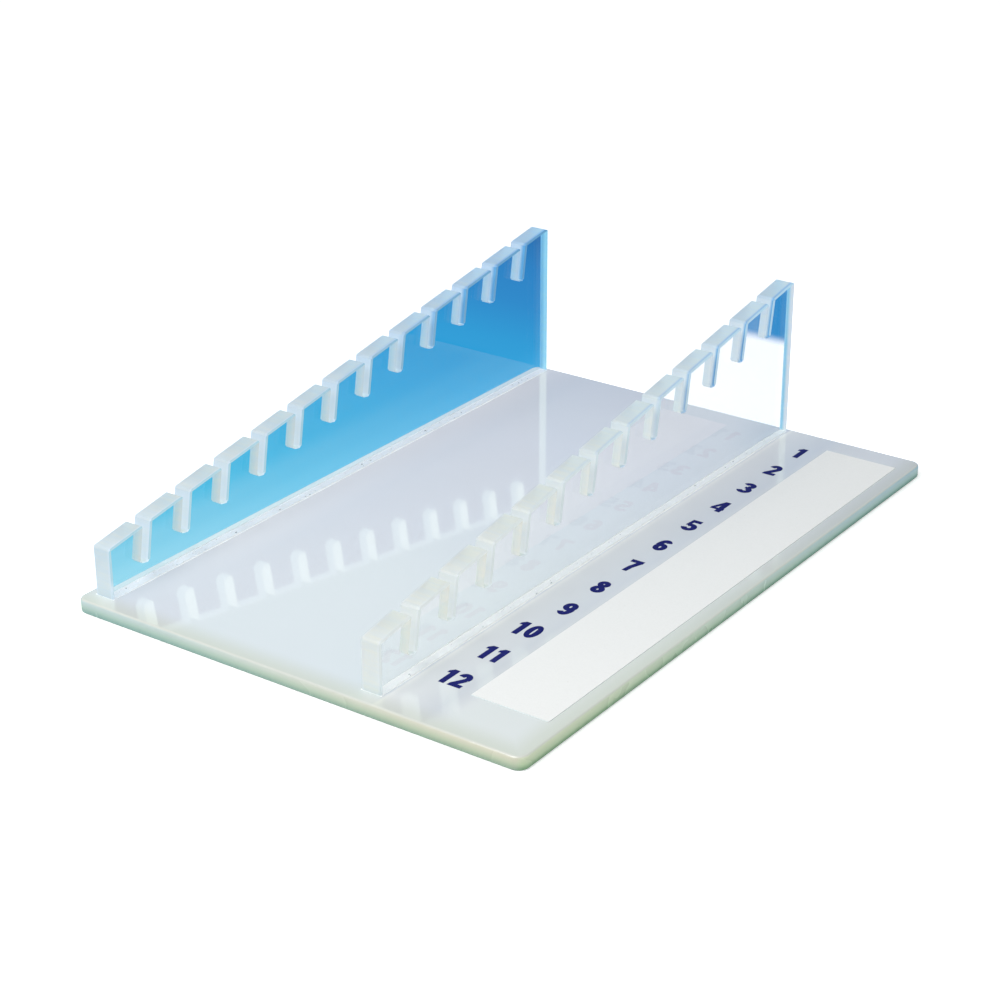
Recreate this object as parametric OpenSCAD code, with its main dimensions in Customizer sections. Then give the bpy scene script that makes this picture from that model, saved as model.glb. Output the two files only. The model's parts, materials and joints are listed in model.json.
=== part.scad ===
// Stepped slotted rack for thin flat samples.
// Two clear walls stand side by side on an opal base plate. Their top edges climb from the
// front to the back, and each wall is cut by the same row of slots, so that a slide or a card
// stands across both walls, leans back and shows its face above the one in front of it.
// A matte write-on label lies on the plate beside the right wall.
// Frame: X across the walls, Y along them towards the high end, Z up.
// The origin is at the centre of the plate's underside. Sizes are in millimetres.

/* [Slots] */
// Number of slots in each wall
slot_count = 12; // [2:1:20]
// Distance from one slot to the next, along Y
slot_pitch = 12.7; // [9:0.1:20]
// Width of a slot, square to its sides
slot_w = 2.25; // [1.2:0.05:4]
// Depth of a slot along its centre line, from the wall's top edge
slot_depth = 8.9; // [4:0.1:11]
// Angle by which the slots lean back towards the high end, in degrees
lean_angle = 9.5; // [0:0.5:20]
// Radius in the two corners of a slot's floor
slot_floor_r = 0.45; // [0.1:0.05:0.5]
// Size of the lead-in chamfers at a slot's mouth
lip = 0.45; // [0.1:0.05:1]

/* [Walls] */
// Thickness of each wall
wall_t = 5; // [3:0.1:8]
// Distance between the outer faces of the two walls, the length of a standard slide
wall_span = 76.2; // [50:0.1:120]
// Height of a wall above the plate at its low front end
low_h = 11.6; // [9:0.1:30]
// Angle by which the top edge climbs, in degrees
rise_angle = 9.5; // [0:0.5:15]
// From the wall's front end to the centre of the first slot
lead_in = 11.6; // [6:0.1:30]
// From the centre of the last slot to the wall's back end
lead_out = 11; // [6:0.1:30]
// Radius of the two corners at the ends of the top edge
tip_r = 0.9; // [0.2:0.1:3]
// Size of the small chamfers along the wall's sawn edges
edge_break = 0.35; // [0.1:0.05:0.6]

/* [Base plate] */
// Thickness of the plate
base_t = 3.2; // [2:0.1:8]
// Radius of the plate's corners, seen from above
corner_r = 2.5; // [1:0.1:8]
// Radius of the softened edges round the plate's faces
plate_edge_r = 0.6; // [0.2:0.1:0.9]
// From the plate's left edge to the left wall
side_margin = 2.3; // [0.7:0.1:20]
// From the plate's front edge to the walls
front_margin = 3.8; // [0.7:0.1:30]
// From the walls to the plate's back edge
rear_margin = 1.4; // [0.7:0.1:30]

/* [Label] */
// Width of the bare strip for the printed numbers, between the right wall and the label
number_band = 13.9; // [5:0.1:40]
// Width of the write-on label
label_w = 18.2; // [8:0.1:40]
// Thickness of the label's film
label_t = 0.12; // [0.05:0.01:0.5]
// From the label to the plate's right edge
label_margin = 3.7; // [1:0.1:20]
// How far the label starts before the first slot's line
label_lead = 1.1; // [0:0.1:10]
// How far the label runs on past the last slot's line
label_tail = 5.7; // [0:0.1:10]

/* [Hidden] */
$fn = 48;
// Length of the run of slots, from the first centre to the last
slot_run = (slot_count - 1) * slot_pitch;
// Lengths and widths that follow from the values above
wall_l = lead_in + slot_run + lead_out;
base_w = side_margin + wall_span + number_band + label_w + label_margin;
base_l = front_margin + wall_l + rear_margin;
label_l = label_lead + slot_run + label_tail;
// Places of the pieces in the part's own frame
left_wall_x = side_margin - base_w / 2;
right_wall_x = left_wall_x + wall_span - wall_t;
wall_y = front_margin - base_l / 2;
label_x = left_wall_x + wall_span + number_band;
label_y = wall_y + lead_in - label_lead;
// Segments in the rounded corner of a wall's outline
tip_steps = 6;
// How far a cutter runs past the surface that it opens
over = 1;

// Height of the top edge above the wall's foot, at y along the wall
function top_at(y) = low_h + y * tan(rise_angle);

// Points of an arc round a centre, from one angle to another
function arc(centre, radius, from, to, steps) =
    [for (i = [0:steps]) let (a = from + (to - from) * i / steps) centre + radius * [cos(a), sin(a)]];

// Height of the centre of an arc of radius tip_r that touches the top edge, at y along the wall
function tip_centre_z(y) = top_at(y) - tip_r / cos(rise_angle);

// Side view of a wall before slotting: a long wedge with two rounded upper corners
module wall_outline() {
    front_tip = arc([tip_r, tip_centre_z(tip_r)], tip_r, 180, 90 + rise_angle, tip_steps);
    back_y = wall_l - tip_r;
    back_tip = arc([back_y, tip_centre_z(back_y)], tip_r, 90 + rise_angle, 0, tip_steps);
    polygon(concat([[0, 0]], front_tip, back_tip, [[wall_l, 0]]));
}

// Stands a side view up, with its first axis along Y, its second up and its thickness along X
module stand_up(thickness) {
    rotate([90, 0, 90]) linear_extrude(height = thickness) children();
}

// Side view of one slot. Its centre line is the second axis, and it meets the top edge at zero
module slot_outline() {
    half_w = slot_w / 2;
    floor_z = -slot_depth;
    mouth_angle = rise_angle + lean_angle;
    corner_z = half_w * tan(mouth_angle);
    lip_y = half_w + lip * cos(mouth_angle);
    lip_rise = lip * sin(mouth_angle);
    // straight sides down to the corner radii
    translate([-half_w, floor_z + slot_floor_r])
        square([slot_w, slot_depth - slot_floor_r + corner_z + over]);
    // floor between the corner radii
    translate([slot_floor_r - half_w, floor_z])
        square([slot_w - 2 * slot_floor_r, 2 * slot_floor_r]);
    for (side = [-1, 1])
        translate([side * (half_w - slot_floor_r), floor_z + slot_floor_r]) circle(r = slot_floor_r);
    // lead-in chamfer on each side of the mouth
    for (side = [-1, 1])
        polygon([
            [0, side * corner_z - lip],
            [side * half_w, side * corner_z - lip],
            [side * lip_y, side * (corner_z + lip_rise)],
            [side * lip_y, corner_z + over],
            [0, corner_z + over]
        ]);
}

// Cutter along Y that chamfers an edge of material lying towards +X and -Z. Its cutting face
// crosses both faces of the wall, and the rest of the bar stays clear of them
module edge_cutter(length) {
    bar = 4 * edge_break;
    rotate([0, -45, 0]) translate([-bar / 2, -over, -edge_break / sqrt(2)])
        cube([bar, length + 2 * over, bar]);
}

// Cutter that runs down a slot at the face X = 0, and chamfers both of the slot's edges there
module slot_groove() {
    side = (slot_w / 2 + edge_break + over) * sqrt(2);
    translate([-over, 0, slot_floor_r - slot_depth]) rotate([0, 0, 45])
        translate([-side / 2, -side / 2, 0]) cube([side, side, slot_depth - slot_floor_r + over]);
}

// Repeats what is made for the wall's face at X = 0 on its other face
module on_both_faces() {
    for (side = [0, 1]) translate([side * wall_t, 0, 0]) mirror([side, 0, 0]) children();
}

// One slot's cutter: the slot itself, and the grooves that break its edges on both wall faces
module slot_cutter() {
    translate([-over, 0, 0]) stand_up(wall_t + 2 * over) slot_outline();
    on_both_faces() slot_groove();
}

// One wall, standing on its foot, with its outer left face at X = 0 and its front end at Y = 0
module slotted_wall() {
    difference() {
        stand_up(wall_t) wall_outline();
        for (i = [0:slot_count - 1])
            translate([0, lead_in + i * slot_pitch, top_at(lead_in + i * slot_pitch)])
                rotate([-lean_angle, 0, 0]) slot_cutter();
        // broken edges along the top, and up the front and back ends
        on_both_faces() {
            translate([0, 0, low_h]) rotate([rise_angle, 0, 0]) edge_cutter(wall_l / cos(rise_angle));
            rotate([90, 0, 0]) edge_cutter(top_at(0));
            translate([0, wall_l, 0]) mirror([0, 1, 0]) rotate([90, 0, 0]) edge_cutter(top_at(wall_l));
        }
    }
}

// Cross-section of the plate's rim, from the corner radius out to the softened edge
module rim_section() {
    inset = plate_edge_r;
    square([corner_r - inset, base_t]);
    translate([0, inset]) square([corner_r, base_t - 2 * inset]);
    for (z = [inset, base_t - inset])
        translate([corner_r - inset, z]) circle(r = inset);
}

// Straight stretch of rim along Y, centred, with its outer edge towards +X
module rim_bar(length) {
    rotate([90, 0, 0]) linear_extrude(height = length, center = true) rim_section();
}

// Plate in nine pieces that meet face to face: a flat core, four rims and four rounded corners
module base_plate() {
    core_w = base_w - 2 * corner_r;
    core_l = base_l - 2 * corner_r;
    color([0.86, 0.90, 0.93]) {
        translate([-core_w / 2, -core_l / 2, 0]) cube([core_w, core_l, base_t]);
        for (x = [0, 1]) mirror([x, 0, 0])
            translate([core_w / 2, 0, 0]) rim_bar(core_l);
        for (y = [0, 1]) mirror([0, y, 0])
            translate([0, core_l / 2, 0]) rotate([0, 0, 90]) rim_bar(core_w);
        for (x = [0, 1], y = [0, 1]) mirror([x, 0, 0]) mirror([0, y, 0])
            translate([core_w / 2, core_l / 2, 0]) rotate_extrude(angle = 90) rim_section();
    }
}

module left_wall() {
    color([0.62, 0.84, 0.95, 0.5]) translate([left_wall_x, wall_y, base_t]) slotted_wall();
}

module right_wall() {
    color([0.70, 0.87, 0.95, 0.5]) translate([right_wall_x, wall_y, base_t]) slotted_wall();
}

module write_on_label() {
    color([0.98, 0.98, 0.96]) translate([label_x, label_y, base_t]) cube([label_w, label_l, label_t]);
}

base_plate();
left_wall();
right_wall();
write_on_label();
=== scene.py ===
"""Looks of a stepped slotted rack for thin flat samples.

Two clear walls stand on an opal plate. Their top edges climb towards the back, and the same row
of slots is sawn in both. Numbers are printed beside the right wall, one for each slot, and a
write-on label lies beyond them. Lengths are in metres: X runs across the walls, Y along them
towards the high end, and Z up.
"""

import json
import logging
import math
import random
from dataclasses import dataclass, field
from enum import Enum
from typing import Sequence

import bmesh
import bpy
from mathutils import Matrix, Vector
from mathutils.geometry import delaunay_2d_cdt


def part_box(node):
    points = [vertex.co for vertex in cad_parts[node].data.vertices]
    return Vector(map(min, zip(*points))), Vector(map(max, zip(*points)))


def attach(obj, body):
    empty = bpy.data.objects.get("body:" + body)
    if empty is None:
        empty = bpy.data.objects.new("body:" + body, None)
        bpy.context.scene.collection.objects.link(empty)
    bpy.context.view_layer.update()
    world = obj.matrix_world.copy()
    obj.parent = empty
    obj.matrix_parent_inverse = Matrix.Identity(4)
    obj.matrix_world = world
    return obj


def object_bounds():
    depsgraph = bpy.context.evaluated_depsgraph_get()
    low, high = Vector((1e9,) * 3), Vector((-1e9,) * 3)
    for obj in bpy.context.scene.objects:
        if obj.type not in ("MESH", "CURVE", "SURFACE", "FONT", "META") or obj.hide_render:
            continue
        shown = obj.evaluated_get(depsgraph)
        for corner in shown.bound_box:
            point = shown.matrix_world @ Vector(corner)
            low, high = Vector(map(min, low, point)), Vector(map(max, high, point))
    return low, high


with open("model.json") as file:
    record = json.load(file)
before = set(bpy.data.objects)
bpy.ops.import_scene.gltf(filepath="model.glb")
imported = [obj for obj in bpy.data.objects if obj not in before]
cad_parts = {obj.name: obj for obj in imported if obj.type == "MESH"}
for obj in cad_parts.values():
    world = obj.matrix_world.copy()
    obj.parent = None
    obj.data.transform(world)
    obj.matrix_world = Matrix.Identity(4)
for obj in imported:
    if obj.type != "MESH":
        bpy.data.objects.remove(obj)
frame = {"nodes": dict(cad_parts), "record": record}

Colour = tuple[float, float, float]
Factors = tuple[float, float, float]
Pair = tuple[Colour, Colour]
Stops = tuple[tuple[float, Colour], ...]
Limits = tuple[float, float]
Point = tuple[float, float]
Patch = list[Point]
Socket = bpy.types.NodeSocket
Value = float | Colour | Socket
Inputs = dict[str | int, Value]
Shape = bmesh.types.BMesh

LOG = logging.getLogger("rack")
CAD_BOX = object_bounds()
BODY = "root"
MM = 0.001
NOISE_LIMITS = (0.3, 0.7)


class Side(Enum):
    """The two walls, by the side of the plate that they stand on."""

    LEFT = "left_wall"
    RIGHT = "right_wall"


class Slot(Enum):
    """The record's material slots."""

    OPAL = "opal_acrylic"
    CLEAR = "clear_acrylic"
    LABEL = "label_film"


# ------------------------------------------------------------------------------ shader sketching


class Sketch:
    """Adds nodes to one shader tree in few words."""

    def __init__(self, tree: bpy.types.NodeTree) -> None:
        """Starts a sketch in a node tree."""
        self.tree = tree

    def add(self, kind: str, inputs: Inputs | None = None, **settings: object) -> bpy.types.Node:
        """Adds one node.

        Args:
            kind: the node's type name.
            inputs: what its inputs are fed, by their names or numbers.
            settings: properties to set on it.

        Returns:
            The new node.
        """
        node = self.tree.nodes.new(kind)
        for name, value in settings.items():
            setattr(node, name, value)
        for key, value in (inputs or {}).items():
            self.feed(node.inputs[key], value)
        return node

    def feed(self, socket: Socket, value: Value) -> None:
        """Links a socket to an input, or sets the input to a constant.

        Args:
            socket: the input.
            value: a socket, a number or a colour.
        """
        if isinstance(value, bpy.types.NodeSocket):
            self.tree.links.new(value, socket)
        elif isinstance(value, tuple) and len(socket.default_value) == len(value) + 1:
            socket.default_value = (*value, 1.0)
        else:
            socket.default_value = value

    def maths(self, operation: str, *values: Value, clamp: bool = False) -> Socket:
        """Adds a Math node.

        Args:
            operation: what it does.
            values: its inputs in order.
            clamp: whether its result is kept between 0 and 1.

        Returns:
            Its output.
        """
        inputs = dict(enumerate(values))
        return self.add("ShaderNodeMath", inputs, operation=operation, use_clamp=clamp).outputs[0]

    def is_number(self, value: Value, number: float) -> Socket:
        """Says whether a counted value is a certain whole number."""
        return self.maths("COMPARE", value, number, 0.5)

    def minus(self, first: Value, second: Value) -> Socket:
        """Subtracts the second number from the first."""
        return self.maths("SUBTRACT", first, second)

    def share(self, value: Value, low: float, high: float) -> Socket:
        """Says how far a value has come from low, as 0, to high, as 1."""
        return self.maths("DIVIDE", self.minus(value, low), high - low)

    def times(self, first: Value, *others: Value) -> Value:
        """Multiplies numbers.

        Args:
            first: the first number.
            others: the rest.

        Returns:
            Their product.
        """
        product = first
        for value in others:
            product = self.maths("MULTIPLY", product, value)
        return product

    def blend(self, share: Value, first: Value, second: Value) -> Socket:
        """Blends two colours.

        Args:
            share: how much of the second colour there is.
            first: the colour at share 0.
            second: the colour at share 1.

        Returns:
            The blended colour.
        """
        inputs = {"Factor": share, 6: first, 7: second}
        return self.add("ShaderNodeMix", inputs, data_type="RGBA").outputs[2]

    def tinted(self, colour: Value, tint: Value) -> Socket:
        """Multiplies two colours."""
        inputs = {"Factor": 1.0, 6: colour, 7: tint}
        return self.add("ShaderNodeMix", inputs, data_type="RGBA", blend_type="MULTIPLY").outputs[2]

    def washed(self, colour: Value, share: Value, tint: Value) -> Socket:
        """Tints a colour as far as a mask says."""
        return self.blend(share, colour, self.tinted(colour, tint))

    def span(self, value: Value, low: float, high: float,
             to_low: Value = 0.0, to_high: Value = 1.0) -> Socket:
        """Maps a range of values smoothly onto another.

        Args:
            value: the value to map.
            low: the value that gives to_low.
            high: the value that gives to_high. It may be less than low.
            to_low: the result at low and before it.
            to_high: the result at high and past it.

        Returns:
            The mapped value.
        """
        inputs = {"Value": value, "From Min": low, "From Max": high, "To Min": to_low, "To Max": to_high}
        return self.add("ShaderNodeMapRange", inputs, interpolation_type="SMOOTHSTEP").outputs["Result"]

    def ramp(self, value: Value, stops: Stops) -> Socket:
        """Reads a colour off a row of colour stops.

        Args:
            value: the place along the row, from 0 to 1.
            stops: places and their colours, in order.

        Returns:
            The colour.
        """
        node = self.add("ShaderNodeValToRGB", {0: value})
        band = node.color_ramp.elements
        while len(band) < len(stops):
            band.new(0.5)
        for element, (place, colour) in zip(band, stops):
            element.position = place
            element.color = (*colour, 1.0)
        return node.outputs["Color"]

    def noise(self, vector: Value, scale: Value, detail: float = 2.0, roughness: float = 0.5) -> Socket:
        """Adds a noise texture.

        Args:
            vector: where it is read.
            scale: waves to a metre.
            detail: octaves of finer noise.
            roughness: how strong the finer noise is.

        Returns:
            Its value, around 0.5.
        """
        inputs = {"Vector": vector, "Scale": scale, "Detail": detail, "Roughness": roughness}
        return self.add("ShaderNodeTexNoise", inputs).outputs["Fac"]

    def stretched(self, vector: Socket, factors: Factors) -> Socket:
        """Scales coordinates along each axis."""
        return self.add("ShaderNodeVectorMath", {0: vector, 1: factors}, operation="MULTIPLY").outputs[0]

    def place(self) -> Socket:
        """Returns the surface's own coordinates, in metres."""
        return self.add("ShaderNodeTexCoord").outputs["Object"]

    def axes(self, vector: Socket) -> tuple[Socket, Socket, Socket]:
        """Splits a vector into its X, Y and Z."""
        return tuple(self.add("ShaderNodeSeparateXYZ", {0: vector}).outputs)

    def facing(self) -> tuple[Socket, Socket, Socket]:
        """Returns how squarely the surface faces along X, Y and Z, each from 0 to 1."""
        normal = self.add("ShaderNodeNewGeometry").outputs["True Normal"]
        return tuple(self.maths("ABSOLUTE", part) for part in self.axes(normal))

    def bump(self, height: Socket, distance: float, strength: float = 1.0) -> Socket:
        """Turns a height into a normal.

        Args:
            height: the height, from 0 to 1.
            distance: the depth that a height of 1 stands for.
            strength: how much of it shows.

        Returns:
            The normal.
        """
        inputs = {"Height": height, "Distance": distance, "Strength": strength}
        return self.add("ShaderNodeBump", inputs).outputs["Normal"]

    def surface(self, colour: Value, **settings: Value) -> Socket:
        """Adds a Principled shader.

        Args:
            colour: its base colour.
            settings: its other inputs, with underscores for spaces.

        Returns:
            Its shader output.
        """
        node = self.add("ShaderNodeBsdfPrincipled", {"Base Color": colour})
        for name, value in settings.items():
            self.feed(node.inputs[name.replace("_", " ").title().replace("Ior", "IOR")], value)
        return node.outputs[0]

    def glow(self, colour: Value) -> Socket:
        """Adds a shader that glows evenly in a colour."""
        return self.add("ShaderNodeEmission", {"Color": colour}).outputs[0]

    def mixed(self, share: Value, first: Socket, second: Socket) -> Socket:
        """Mixes two shaders.

        Args:
            share: how much of the second there is.
            first: the shader at share 0.
            second: the shader at share 1.

        Returns:
            The mixed shader.
        """
        return self.add("ShaderNodeMixShader", {0: share, 1: first, 2: second}).outputs[0]


class MaterialSketch(Sketch):
    """A sketch of one material."""

    def __init__(self, name: str) -> None:
        """Makes the material, with an empty tree.

        Args:
            name: its name.
        """
        self.material = bpy.data.materials.new(name)
        self.material.use_nodes = True
        self.material.node_tree.nodes.clear()
        super().__init__(self.material.node_tree)

    def finish(self, shader: Socket) -> bpy.types.Material:
        """Puts a shader on the material's output, and returns the material."""
        self.add("ShaderNodeOutputMaterial", {"Surface": shader})
        return self.material


# ---------------------------------------------------------------------------------- shared effects


class SharedEffect:
    """An effect that several materials use: one node group, built at its first use."""

    name: str = "effect"
    inputs: dict[str, float] = {}
    outputs: tuple[str, ...] = ("Mask", "Height")

    def __init__(self) -> None:
        """Starts without a group."""
        self.tree: bpy.types.NodeTree | None = None

    def draw(self, sketch: Sketch, given: dict[str, Socket]) -> dict[str, Socket]:
        """Draws the group's inside.

        Args:
            sketch: a sketch in the group.
            given: the group's inputs by name.

        Returns:
            A socket for each of the group's outputs.
        """
        raise NotImplementedError

    def build(self) -> bpy.types.NodeTree:
        """Makes the node group.

        Returns:
            The group's tree.
        """
        tree = bpy.data.node_groups.new(self.name, "ShaderNodeTree")
        tree.interface.new_socket("Vector", in_out="INPUT", socket_type="NodeSocketVector")
        for name, value in self.inputs.items():
            socket = tree.interface.new_socket(name, in_out="INPUT", socket_type="NodeSocketFloat")
            socket.default_value = value
        for name in self.outputs:
            tree.interface.new_socket(name, in_out="OUTPUT", socket_type="NodeSocketFloat")
        sketch = Sketch(tree)
        given = sketch.add("NodeGroupInput").outputs
        drawn = self.draw(sketch, {name: given[name] for name in ("Vector", *self.inputs)})
        sketch.add("NodeGroupOutput", drawn)
        return tree

    def place(self, sketch: Sketch, vector: Socket, **values: float) -> dict[str, Socket]:
        """Puts the effect in a material.

        Args:
            sketch: the material's sketch.
            vector: the coordinates that the effect follows.
            values: the effect's own inputs, with underscores for spaces.

        Returns:
            Its outputs by name.
        """
        if self.tree is None:
            self.tree = self.build()
        inputs = {name.replace("_", " ").title(): value for name, value in values.items()}
        node = sketch.add("ShaderNodeGroup", {"Vector": vector, **inputs}, node_tree=self.tree)
        return {name: node.outputs[name] for name in self.outputs}


class HandlingMarks(SharedEffect):
    """Smudges and hairline scratches that a polished sheet picks up in use."""

    name = "handling_marks"
    inputs = {"Smudge Scale": 60.0, "Scratch Scale": 350.0, "Amount": 1.0}
    directions: tuple[Factors, ...] = ((0.06, 1.0, 0.3), (1.0, 0.05, 0.4))
    smudge_limits: Limits = (0.48, 0.72)
    smudge_share: float = 0.6
    line_limits: Limits = (0.70, 0.74)
    line_share: float = 0.4

    def draw(self, sketch: Sketch, given: dict[str, Socket]) -> dict[str, Socket]:
        """Draws cloudy smudges and two crossing sets of hairlines.

        Args:
            sketch: a sketch in the group.
            given: the group's inputs by name.

        Returns:
            The mask and the height.
        """
        cloud = sketch.noise(given["Vector"], given["Smudge Scale"], detail=3.0, roughness=0.6)
        smudge = sketch.span(cloud, *self.smudge_limits)
        sets = []
        for direction in self.directions:
            along = sketch.stretched(given["Vector"], direction)
            streak = sketch.noise(along, given["Scratch Scale"], detail=1.0, roughness=0.4)
            sets.append(sketch.span(streak, *self.line_limits))
        lines = sketch.maths("MAXIMUM", *sets)
        smudge, scratch = sketch.times(smudge, self.smudge_share), sketch.times(lines, self.line_share)
        both = sketch.maths("ADD", smudge, scratch)
        return {
            "Mask": sketch.maths("MULTIPLY", both, given["Amount"], clamp=True),
            "Height": sketch.times(lines, given["Amount"]),
        }


class SawnGrain(SharedEffect):
    """Fine teeth marks and grit that a saw leaves on the cut edge of a sheet."""

    name = "sawn_grain"
    inputs = {"Stroke Scale": 900.0, "Grit Scale": 5200.0, "Amount": 1.0}
    direction: Factors = (0.10, 1.0, 1.0)
    stroke_share: float = 0.65
    grit_share: float = 0.35
    limits: Limits = (0.38, 0.64)

    def draw(self, sketch: Sketch, given: dict[str, Socket]) -> dict[str, Socket]:
        """Draws strokes across the sheet, broken up by grit.

        Args:
            sketch: a sketch in the group.
            given: the group's inputs by name.

        Returns:
            The mask and the height.
        """
        along = sketch.stretched(given["Vector"], self.direction)
        stroke = sketch.noise(along, given["Stroke Scale"], detail=2.0, roughness=0.55)
        grit = sketch.noise(given["Vector"], given["Grit Scale"], detail=1.0, roughness=0.5)
        stroke, grit = sketch.times(stroke, self.stroke_share), sketch.times(grit, self.grit_share)
        both = sketch.maths("ADD", stroke, grit)
        return {
            "Mask": sketch.times(sketch.span(both, *self.limits), given["Amount"]),
            "Height": sketch.times(both, given["Amount"]),
        }


class SettledDust(SharedEffect):
    """Small specks of dust and lint."""

    name = "settled_dust"
    inputs = {"Speck Scale": 420.0, "Amount": 1.0}
    speck_limits: Limits = (0.14, 0.05)
    chosen_limits: Limits = (0.86, 0.90)

    def draw(self, sketch: Sketch, given: dict[str, Socket]) -> dict[str, Socket]:
        """Draws scattered specks, of which only a few are kept.

        Args:
            sketch: a sketch in the group.
            given: the group's inputs by name.

        Returns:
            The mask and the height.
        """
        cells = {"Vector": given["Vector"], "Scale": given["Speck Scale"]}
        speck = sketch.add("ShaderNodeTexVoronoi", cells, feature="F1").outputs
        near = sketch.span(speck["Distance"], *self.speck_limits)
        chosen = sketch.span(sketch.axes(speck["Color"])[0], *self.chosen_limits)
        mask = sketch.times(near, chosen, given["Amount"])
        return {"Mask": mask, "Height": mask}


MARKS = HandlingMarks()
GRAIN = SawnGrain()
DUST = SettledDust()


# ---------------------------------------------------------------------------------------- finishes


@dataclass(frozen=True)
class OpalFinish:
    """Polished opal sheet, with a faint green body colour that shows at its rim."""

    # The middle of the plate, partly bluish as painted light, and its painted light and shade from the low
    # end to the high end.
    face: Colour = (0.755, 0.798, 0.860)
    face_tints: Stops = (
        (0.03, (0.955, 0.96, 0.96)), (0.10, (0.975, 0.98, 0.98)), (0.20, (1.0, 1.0, 1.0)),
        (0.44, (1.025, 1.025, 1.03)), (0.62, (1.06, 1.055, 1.055)), (0.74, (1.06, 1.055, 1.055)),
        (0.87, (1.035, 1.03, 1.02)), (1.0, (0.96, 0.96, 0.97)),
    )
    # Painted light: the plate paler at the left wall's foot, and bluer behind that wall, where it is seen
    # through it.
    left_foot: Colour = (1.17, 1.12, 1.08)
    left_foot_width: float = 12 * MM
    left_foot_start: Limits = (8 * MM, 50 * MM)
    behind_wall: Colour = (1.0, 1.15, 1.16)
    # The band where the numbers are printed, from the right wall to the plate's edge, in painted light and
    # shade.
    band_near: Stops = (
        (0.0, (0.875, 0.885, 0.870)), (0.33, (0.655, 0.694, 0.728)), (0.45, (0.745, 0.768, 0.780)),
    )
    band_far: Stops = (
        (0.0, (0.914, 0.929, 0.909)), (0.33, (0.735, 0.785, 0.825)), (0.45, (0.779, 0.806, 0.815)),
    )
    band_change: Limits = (20 * MM, 85 * MM)
    band_softness: float = 1 * MM
    right_foot: Colour = (1.17, 1.16, 1.12)
    right_foot_width: float = 2.2 * MM
    # The creamy strip along the low end and the right edge.
    strip: Colour = (0.610, 0.635, 0.560)
    strip_width: float = 7 * MM
    strip_share: float = 0.8
    # The sawn rim, from the underside up: the sheet's green, with painted shade that darkens it low down.
    front_rim: Stops = (
        (0.0, (0.200, 0.350, 0.275)), (0.45, (0.390, 0.520, 0.400)), (1.0, (0.545, 0.610, 0.530)),
    )
    side_rim: Stops = (
        (0.0, (0.130, 0.310, 0.150)), (0.45, (0.480, 0.620, 0.390)), (1.0, (0.640, 0.720, 0.520)),
    )
    # Painted light that changes across the front, and painted bluish shade on the side towards the high end.
    front_tints: Pair = ((0.87, 0.94, 1.08), (1.11, 0.97, 0.90))
    side_far_tint: Colour = (0.68, 0.88, 1.34)
    rim_limits: Limits = (0.92, 0.35)
    side_limits: Limits = (0.3, 0.9)
    rim_grain: float = 0.04
    rim_roughness: float = 0.16
    # Its painted blue where a wall mirrors it, its clouds and dust, and its gloss.
    mirrored_tint: Colour = (0.45, 0.97, 1.00)
    cloudy: Colour = (0.700, 0.740, 0.780)
    cloud_scale: float = 35.0
    cloud_share: float = 0.12
    dust_colour: Colour = (0.80, 0.80, 0.78)
    roughness: float = 0.10
    marks_roughness: float = 0.06
    scratch_depth: float = 0.002 * MM
    ior: float = 1.49
    polish_roughness: float = 0.035
    polish_ior: float = 1.62

    def middle_colour(self, sketch: Sketch, x: Socket, to_front: Socket, left_wall: Limits, length: float,
                      seen_through: Socket) -> Socket:
        """Colours the plate between the walls, and behind the left one, with painted light and shade.

        Args:
            sketch: the material's sketch.
            x: the place across the plate.
            to_front: the distance from the low end.
            left_wall: where the left wall begins and ends along X.
            length: the plate's length.
            seen_through: whether the ray came through something clear.

        Returns:
            The colour.
        """
        backward = sketch.maths("DIVIDE", to_front, length)
        # Painted light and shade along the plate: darker at both ends, lighter in the middle.
        face = sketch.tinted(sketch.ramp(backward, self.face_tints), self.face)
        wall_low, wall_high = left_wall
        # Painted light: the plate is paler at the left wall's foot.
        beside = sketch.span(x, wall_high + self.left_foot_width, wall_high)
        foot = sketch.times(beside, sketch.span(to_front, *self.left_foot_start))
        face = sketch.washed(face, foot, self.left_foot)
        # Painted bluish light where the plate is seen through the left wall.
        behind = sketch.times(sketch.maths("LESS_THAN", x, wall_low), seen_through)
        return sketch.washed(face, behind, self.behind_wall)

    def band_colour(self, sketch: Sketch, past_wall: Socket, to_front: Socket, width: float) -> Socket:
        """Colours the band where the numbers are printed, with painted light and shade.

        Args:
            sketch: the material's sketch.
            past_wall: the distance from the right wall.
            to_front: the distance from the low end.
            width: the band's width.

        Returns:
            The colour.
        """
        across = sketch.maths("DIVIDE", past_wall, width)
        # Painted light and shade across the band, and from the low end to the high end.
        near, far = (sketch.ramp(across, stops) for stops in (self.band_near, self.band_far))
        band = sketch.blend(sketch.span(to_front, *self.band_change), near, far)
        # Painted light: paler along the right wall's foot.
        return sketch.washed(band, sketch.span(past_wall, self.right_foot_width, 0.0), self.right_foot)

    def rim_colour(self, sketch: Sketch, shares: Sequence[Socket], sideways: Socket, grain: Socket) -> Socket:
        """Colours the sawn rim, darker and greener low down with painted shade.

        Args:
            sketch: the material's sketch.
            shares: the place along X, Y and Z, each from 0 to 1.
            sideways: how squarely the surface faces along X.
            grain: the saw's marks.

        Returns:
            The colour.
        """
        rightward, backward, upward = shares
        front, side = (sketch.ramp(upward, stops) for stops in (self.front_rim, self.side_rim))
        # Painted light across the front rim, and painted shade on the side towards the high end.
        front = sketch.tinted(front, sketch.blend(rightward, *self.front_tints))
        side = sketch.washed(side, backward, self.side_far_tint)
        rim = sketch.blend(sketch.span(sideways, *self.side_limits), front, side)
        _, top = self.front_rim[-1]
        return sketch.blend(sketch.times(grain, self.rim_grain), rim, top)

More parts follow.
